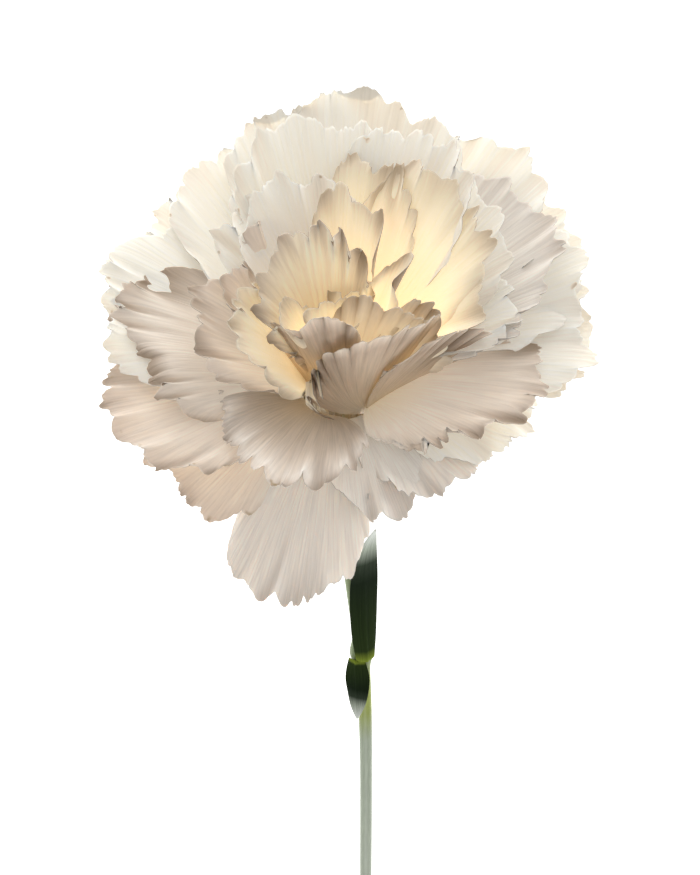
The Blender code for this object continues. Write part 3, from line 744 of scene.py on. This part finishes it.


# Colour stops are place, red, green and blue: "outer" and "inner" run up the sides from the claw's colour,
# painted shade; "glow" is painted light, an emission for the light that comes through; and the hollows' ramp
# runs from the hollows to the ridges, painted shade in the hollows and a little painted light on the ridges
# The petals' feet in painted shade: brown for the shade that falls deep in the head
shadedClawColor = (0, 0.6, 0.5, 0.37)
heartGlow = [(0.12, 0.2, 0.14, 0.07), (0.45, 1, 0.8, 0.48), (0.75, 0.92, 0.77, 0.5), (0.98, 0.3, 0.26, 0.18)]
heartCream = [(0.04, 0.96, 0.8, 0.48), (0.5, 0.96, 0.87, 0.67), (0.85, 0.94, 0.87, 0.73),
              (1, 0.82, 0.74, 0.62)]
petalShared = {
    "glowThrough": 0.0,  # share of the glow that the outer side has
    "softness": 0.0002,  # m that light spreads under the surface
    "roughness": 0.55, "gloss": 0.22, "scatter": (1.0, 0.95, 0.9),
}
# One creamy white petal in lit and shaded copies: "outer" is the lit copy, and "lower", "middle" and "front"
# are darker copies, painted shade for petals that lie in shade, "front" darkest towards its foot. In most
# looks the outer side is darker than the inner side, and most ramps darken towards the margin: painted shade
# too. The yellow of "inner", "core" and "shell" is partly the heart's own cream and partly painted light that
# comes through
petalLook = {"outer": {
    "outer": [(0.04, 0.7, 0.66, 0.54), (0.5, 0.72, 0.68, 0.6), (1, 0.69, 0.65, 0.58)],
    "inner": [(0.04, 0.94, 0.84, 0.62), (0.4, 0.97, 0.9, 0.79), (1, 0.95, 0.885, 0.79)],
    "glow": [(0.1, 1, 0.88, 0.66), (0.4, 0.9, 0.86, 0.78), (1, 0.62, 0.62, 0.6)],
    "paintedHollowShade": [(0, 0.84, 0.83, 0.81), (0.45, 1, 1, 1), (0.9, 1.02, 1.02, 1.02)],
    "glowPower": 0.26, "veins": 0.9, "softness": 0.00025,
}, "lower": {
    "outer": [(0.04, 0.68, 0.64, 0.53), (0.5, 0.69, 0.65, 0.58), (1, 0.66, 0.61, 0.55)],
    "inner": [(0.04, 0.88, 0.79, 0.63), (0.5, 0.94, 0.88, 0.79), (1, 0.9, 0.84, 0.76)],
    "glow": [(0.1, 0.4, 0.36, 0.3), (0.5, 0.9, 0.88, 0.84), (1, 0.8, 0.78, 0.75)],
    "paintedHollowShade": [(0, 0.68, 0.62, 0.56), (0.45, 0.98, 0.98, 0.98), (0.9, 1.03, 1.03, 1.03)],
    "glowPower": 0.19, "veins": 0.82, "softness": 0.00012,
}, "middle": {
    "outer": [(0.04, 0.79, 0.74, 0.6), (0.5, 0.79, 0.73, 0.64), (0.85, 0.75, 0.68, 0.6),
              (1, 0.62, 0.54, 0.46)],
    "inner": [(0.04, 0.92, 0.83, 0.64), (0.45, 0.92, 0.84, 0.74), (0.85, 0.88, 0.8, 0.71),
              (1, 0.76, 0.67, 0.58)],
    "glow": [(0.1, 1, 0.86, 0.62), (0.5, 0.9, 0.82, 0.7), (1, 0.6, 0.53, 0.45)],
    "paintedHollowShade": [(0, 0.54, 0.47, 0.4), (0.45, 0.96, 0.95, 0.94), (0.9, 1.04, 1.04, 1.04)],
    "glowPower": 0.25, "veins": 0.82,
}, "inner": {
    "outer": [(0.04, 0.9, 0.8, 0.62), (0.5, 0.88, 0.79, 0.67), (0.85, 0.78, 0.68, 0.57),
              (1, 0.64, 0.55, 0.46)],
    "inner": heartCream,
    "glow": heartGlow,
    "paintedHollowShade": [(0, 0.6, 0.52, 0.44), (0.45, 0.97, 0.96, 0.95), (0.9, 1.05, 1.05, 1.05)],
    "glowPower": 0.6, "veins": 0.88,
}, "core": {
    "outer": [(0.04, 0.9, 0.82, 0.64), (0.5, 0.92, 0.85, 0.74), (0.85, 0.88, 0.8, 0.69),
              (1, 0.74, 0.65, 0.54)],
    "inner": heartCream,
    "glow": heartGlow,
    "paintedHollowShade": [(0, 0.62, 0.54, 0.45), (0.45, 0.97, 0.96, 0.95), (0.9, 1.05, 1.05, 1.05)],
    "glowPower": 0.42, "veins": 0.86, "glowThrough": 0.5,
}, "shell": {
    "outer": [(0.04, 0.86, 0.74, 0.57), (0.5, 0.83, 0.67, 0.5), (0.85, 0.6, 0.47, 0.36),
              (1, 0.76, 0.66, 0.55)],
    "inner": [(0.04, 0.9, 0.76, 0.52), (0.5, 0.94, 0.85, 0.67), (0.85, 0.92, 0.84, 0.71),
              (1, 0.8, 0.71, 0.6)],
    "glow": heartGlow,
    "paintedHollowShade": [(0, 0.52, 0.44, 0.37), (0.45, 0.95, 0.94, 0.93), (0.95, 1.22, 1.24, 1.26)],
    "glowPower": 0.2, "veins": 0.78,
}, "front": {
    "outer": [(0.04, 0.9, 0.84, 0.68), (0.5, 0.9, 0.83, 0.73), (0.85, 0.85, 0.77, 0.68),
              (1, 0.7, 0.61, 0.52)],
    "inner": [(0.04, 0.66, 0.53, 0.38), (0.35, 0.68, 0.56, 0.43), (0.7, 0.77, 0.67, 0.56),
              (0.92, 0.92, 0.86, 0.79), (1, 0.8, 0.72, 0.64)],
    "glow": [(0.1, 0.5, 0.42, 0.3), (0.6, 0.3, 0.27, 0.22), (1, 1, 0.92, 0.84)],
    "paintedHollowShade": [(0, 0.54, 0.47, 0.4), (0.45, 0.96, 0.95, 0.94), (0.9, 1.06, 1.06, 1.06)],
    "glowPower": 0.1, "veins": 0.78,
}}
noiseMiddle = (0.3, 0.7)  # the part of a noise that goes from dark to light
vein = {"lines": (95.0, 3.0), "light": 1.02, "strength": 0.5, "bump": 0.0003}
fleck = {"scale": 420.0, "spot": (0.69, 0.75), "margin": (0.955, 0.985), "color": (0.5, 0.38, 0.22, 1)}


def newMaterial(name):
    # A material with nodes, its tree and its shader
    material = bpy.data.materials.new(name)
    material.use_nodes = True
    tree = material.node_tree
    return material, tree, tree.nodes["Principled BSDF"]


def newGroup(name, inputs, outputs):
    # A node group, its inputs and float outputs, and the sockets at its two ends
    group = bpy.data.node_groups.new(name, "ShaderNodeTree")
    for label, kind in inputs.items():
        group.interface.new_socket(label, in_out="INPUT", socket_type="NodeSocket" + kind)
    for label in outputs:
        group.interface.new_socket(label, in_out="OUTPUT", socket_type="NodeSocketFloat")
    return group, group.nodes.new("NodeGroupInput").outputs, group.nodes.new("NodeGroupOutput").inputs


def feed(tree, node, inputs):
    # Sockets are linked and values set
    for socket, value in inputs.items():
        if isinstance(value, bpy.types.NodeSocket):
            tree.links.new(value, node.inputs[socket])
        else:
            node.inputs[socket].default_value = value
    return node.outputs


def addNode(tree, kind, inputs):
    # A new node, fed
    return feed(tree, tree.nodes.new("ShaderNode" + kind), inputs)


def addGroup(tree, group, inputs):
    # A group, fed
    node = tree.nodes.new("ShaderNodeGroup")
    node.node_tree = group
    return feed(tree, node, inputs)


def addMath(tree, operation, first, second):
    # The operation on two numbers
    node = tree.nodes.new("ShaderNodeMath")
    node.operation = operation
    return feed(tree, node, {0: first, 1: second})[0]


def addRange(tree, source, fromRange, toRange=(0.0, 1.0)):
    # A straight line from one range to the other, held at both ends
    ends = {"Value": source, "From Min": fromRange[0], "From Max": fromRange[1]}
    return addNode(tree, "MapRange", {**ends, "To Min": toRange[0], "To Max": toRange[1]})[0]


def addRamp(tree, source, stops):
    # Colours along the source, straight lines between the stops
    ramp = tree.nodes.new("ShaderNodeValToRGB")
    elements = ramp.color_ramp.elements
    elements[0].position, elements[1].position = stops[0][0], stops[-1][0]
    for position, *_ in stops[1:-1]:
        elements.new(position)
    for element, (_, *color) in zip(elements, stops):
        element.color = (*color, 1)
    return feed(tree, ramp, {0: source})[0]


def addMix(tree, kind, factor, first, second):
    # The first colour mixed with the second, or times it, by the factor
    mix = tree.nodes.new("ShaderNodeMix")
    mix.data_type, mix.blend_type = "RGBA", kind
    return feed(tree, mix, {0: factor, 6: first, 7: second})[2]


def addBump(tree, height, strength, distance):
    # The normal of a surface raised by the height times a distance in m
    return addNode(tree, "Bump", {"Height": height, "Strength": strength, "Distance": distance})[0]


def fibreGroup():
    # Fine lines along a piece: noise at its shares times count and stretch
    inputs = {"Shares": "Vector", "Count": "Float", "Stretch": "Float"}
    group, start, end = newGroup("fibres", inputs, ["Mask"])
    scale = addNode(group, "CombineXYZ", {"X": start["Count"], "Y": start["Stretch"]})[0]
    multiply = group.nodes.new("ShaderNodeVectorMath")
    multiply.operation = "MULTIPLY"
    squeezed = feed(group, multiply, {0: start["Shares"], 1: scale})[0]
    noise = addNode(group, "TexNoise", {"Vector": squeezed, "Scale": 1.0, "Detail": 3.0, "Roughness": 0.6})
    group.links.new(noise["Fac"], end["Mask"])
    return group


def sidesGroup():
    # Height up a petal, and 1 on its inner side, where the share across is over 1.5
    group, start, end = newGroup("petalSides", {"Shares": "Vector"}, ["Along", "Inner"])
    split = addNode(group, "SeparateXYZ", {0: start["Shares"]})
    group.links.new(split["Y"], end["Along"])
    group.links.new(addMath(group, "GREATER_THAN", split["X"], 1.5), end["Inner"])
    return group


def fleckGroup():
    # Withered flecks: noise over a threshold, times a step that is 1 at a petal's margin
    group, start, end = newGroup("flecks", {"Place": "Vector", "Along": "Float"}, ["Mask"])
    noise = addNode(group, "TexNoise", {"Vector": start["Place"], "Scale": fleck["scale"]})
    spot = addRange(group, noise["Fac"], fleck["spot"])
    margin = addRange(group, start["Along"], fleck["margin"])
    group.links.new(addMath(group, "MULTIPLY", spot, margin), end["Mask"])
    return group


def addFibres(tree, groups, lines):
    # A piece's UV map, and the mask of its fine lines
    node = tree.nodes.new("ShaderNodeUVMap")
    node.uv_map = "shareUv"
    inputs = {"Shares": node.outputs[0], "Count": lines[0], "Stretch": lines[1]}
    return node.outputs[0], addGroup(tree, groups["fibres"], inputs)["Mask"]


def petalMaterial(whorl, groups):
    # The side's ramp times the painted shade of the hollows, mixed with the flecks, times the veins' tone.
    # The glow is painted light, an emission that stands in for light coming through the petal: a ramp times
    # that shade, and glowThrough on the outer side
    look = {**petalShared, **petalLook[whorl]}
    material, tree, shader = newMaterial(whorl + "Petal")
    shares, lines = addFibres(tree, groups, vein["lines"])
    sides = addGroup(tree, groups["sides"], {"Shares": shares})
    along, inner = sides["Along"], sides["Inner"]
    outerSide = addRamp(tree, along, [shadedClawColor, *look["outer"]])
    innerSide = addRamp(tree, along, [shadedClawColor, *look["inner"]])
    crimp = tree.nodes.new("ShaderNodeAttribute")
    crimp.attribute_name = "crimp"
    # Painted shade: the colour darkens in the crimp's hollows and lightens a little on its ridges, the folds'
    # light and shade painted into the colour
    paintedShade = addRamp(tree, crimp.outputs["Fac"], look["paintedHollowShade"])
    color = addMix(tree, "MULTIPLY", 1.0, addMix(tree, "MIX", inner, outerSide, innerSide), paintedShade)
    spot = tree.nodes.new("ShaderNodeTexCoord").outputs["Object"]
    flecks = addGroup(tree, groups["flecks"], {"Place": spot, "Along": along})["Mask"]
    color = addMix(tree, "MIX", flecks, color, fleck["color"])
    tone = addRange(tree, lines, noiseMiddle, (look["veins"], vein["light"]))
    color = addMix(tree, "MULTIPLY", 1.0, color, tone)
    # Painted light: the petal glows by emission, which stands in for the light that comes through it
    glow = addMix(tree, "MULTIPLY", 1.0, addRamp(tree, along, look["glow"]), paintedShade)
    glow = addMix(tree, "MULTIPLY", 1.0, glow, addRange(tree, inner, (0.0, 1.0), (look["glowThrough"], 1.0)))
    feed(tree, shader, {
        "Base Color": color,
        "Emission Color": glow,
        "Emission Strength": look["glowPower"],
        "Roughness": look["roughness"],
        "Specular IOR Level": look["gloss"],
        "Subsurface Weight": 1.0,
        "Subsurface Radius": look["scatter"],
        "Subsurface Scale": look["softness"],
        "Normal": addBump(tree, lines, vein["strength"], vein["bump"]),
    })
    return material


# Colours along the piece, count and stretch of its fine lines, and their contrast
plainLook = {"stem": {
    "along": [(0, 0.3, 0.36, 0.16), (0.4, 0.2, 0.26, 0.12), (0.475, 0.34, 0.4, 0.08),
              (0.51, 0.3, 0.35, 0.09), (0.56, 0.36, 0.41, 0.31), (0.98, 0.44, 0.48, 0.4),
              (1, 0.55, 0.6, 0.42)],
    "lines": (24, 30), "contrast": 0.12, "roughness": 0.45, "gloss": 0.3, "bump": 0.00005,
}, "leaf": {
    "along": [(0, 0.2, 0.26, 0.03), (0.06, 0.02, 0.035, 0.008), (0.5, 0.008, 0.015, 0.006),
              (0.64, 0.03, 0.042, 0.026), (0.78, 0.34, 0.38, 0.31), (1, 0.78, 0.81, 0.76)],
    "lines": (34, 2), "contrast": 0.3, "roughness": 0.7, "gloss": 0.03, "bump": 0.0001,
}, "calyx": {
    "along": [(0, 0.25, 0.31, 0.14), (0.25, 0.16, 0.23, 0.08), (0.42, 0.22, 0.27, 0.12),
              (0.47, 0.55, 0.54, 0.4), (0.6, 0.66, 0.62, 0.48), (1, 0.5, 0.52, 0.36)],
    "lines": (70, 3), "contrast": 0.14, "roughness": 0.5, "gloss": 0.3, "bump": 0.00008,
}, "bract": {
    "along": [(0, 0.33, 0.37, 0.2), (0.5, 0.2, 0.27, 0.1), (0.85, 0.28, 0.3, 0.14), (1, 0.46, 0.38, 0.22)],
    "lines": (30, 3), "contrast": 0.16, "roughness": 0.5, "gloss": 0.3, "bump": 0.00008,
}, "ovary": {
    "along": [(0, 0.62, 0.68, 0.4), (0.5, 0.45, 0.55, 0.22), (1, 0.66, 0.7, 0.45)],
    "lines": (12, 6), "contrast": 0.15, "roughness": 0.4, "gloss": 0.5, "bump": 0.00005,
}, "style": {
    "along": [(0, 0.8, 0.8, 0.62), (0.6, 0.88, 0.86, 0.76), (1, 0.93, 0.92, 0.88)],
    "lines": (8, 12), "contrast": 0.06, "roughness": 0.5, "gloss": 0.4, "bump": 0.00003,
}}
plainBump = 0.6


def plainMaterial(name, groups):
    # The ramp along the piece times the fine lines' tone
    look = plainLook[name]
    material, tree, shader = newMaterial(name)
    shares, lines = addFibres(tree, groups, look["lines"])
    color = addRamp(tree, addNode(tree, "SeparateXYZ", {0: shares})["Y"], look["along"])
    tone = addRange(tree, lines, noiseMiddle, (1 - look["contrast"], 1 + look["contrast"]))
    feed(tree, shader, {
        "Base Color": addMix(tree, "MULTIPLY", 1.0, color, tone),
        "Roughness": look["roughness"],
        "Specular IOR Level": look["gloss"],
        "Normal": addBump(tree, lines, plainBump, look["bump"]),
    })
    return material


view = {
    "elevation": 55.0,  # degrees above the table
    "distance": 361.0,
    "lens": 100.0,
    "mouthRight": -1.49,  # the mouth's place from the middle of the view
    "mouthUp": 7.3755,
    "clip": (0.01, 10),  # m
}


def buildCamera():
    # It stands its distance back from the mouth, less the mouth's place in the view
    rise = math.radians(view["elevation"])
    right, back = np.array([1.0, 0, 0]), np.array([0, math.cos(rise), math.sin(rise)])
    up = np.array([0, math.sin(rise), -math.cos(rise)])
    shift = right * view["mouthRight"] + up * view["mouthUp"]
    position = (mouth - shift + back * view["distance"]) * mm
    data = bpy.data.cameras.new("camera")
    data.lens = view["lens"]
    data.clip_start, data.clip_end = view["clip"]
    camera = newObject("camera", data)
    camera.matrix_world = Matrix([*np.column_stack([right, up, back, position]).tolist(), (0, 0, 0, 1)])
    bpy.context.scene.camera = camera


# In m
stage = {
    "floorSize": 4.0, "floorColor": (0.9, 0.9, 0.9, 1), "floorGlow": 1.1, "skyGlow": 0.5,
    "lampPower": 6.0, "lampSize": 0.6, "lampPlace": (0, -0.9, 0.7),
}


def buildStage():
    # A square floor that glows a little, an even sky, and a lamp turned by the angle of its place
    half = stage["floorSize"] / 2
    mesh = bpy.data.meshes.new("floor")
    corners = [(-half, -half, 0), (half, -half, 0), (half, half, 0), (-half, half, 0)]
    mesh.from_pydata(corners, [], [(0, 1, 2, 3)])
    floor = newObject("floor", mesh)
    material, tree, shader = newMaterial("floor")
    white = (1, 1, 1, 1)
    glow = {"Emission Color": white, "Emission Strength": stage["floorGlow"]}
    feed(tree, shader, {"Base Color": stage["floorColor"], **glow})
    mesh.materials.append(material)
    world = bpy.data.worlds.new("studio")
    world.use_nodes = True
    feed(world.node_tree, world.node_tree.nodes["Background"], {"Color": white, "Strength": stage["skyGlow"]})
    bpy.context.scene.world = world
    light = bpy.data.lights.new("softbox", "AREA")
    light.size, light.energy = stage["lampSize"], stage["lampPower"]
    lamp = newObject("softbox", light)
    lamp.location = stage["lampPlace"]
    lamp.rotation_euler = (math.atan2(-stage["lampPlace"][1], stage["lampPlace"][2]), 0, 0)
    bpy.context.scene.view_settings.view_transform = "Standard"
    print("floor, sky and lamp")


groups = {"fibres": fibreGroup(), "sides": sidesGroup(), "flecks": fleckGroup()}
materials = {whorl: petalMaterial(whorl, groups) for whorl in petalLook}
materials |= {name: plainMaterial(name, groups) for name in plainLook}
print("materials:", len(materials))
buildStem()
buildLeaves()
buildCalyx()
buildBracts()
buildPistil()
buildPetals()
buildStage()
buildCamera()
print("camera at", bpy.context.scene.camera.location)
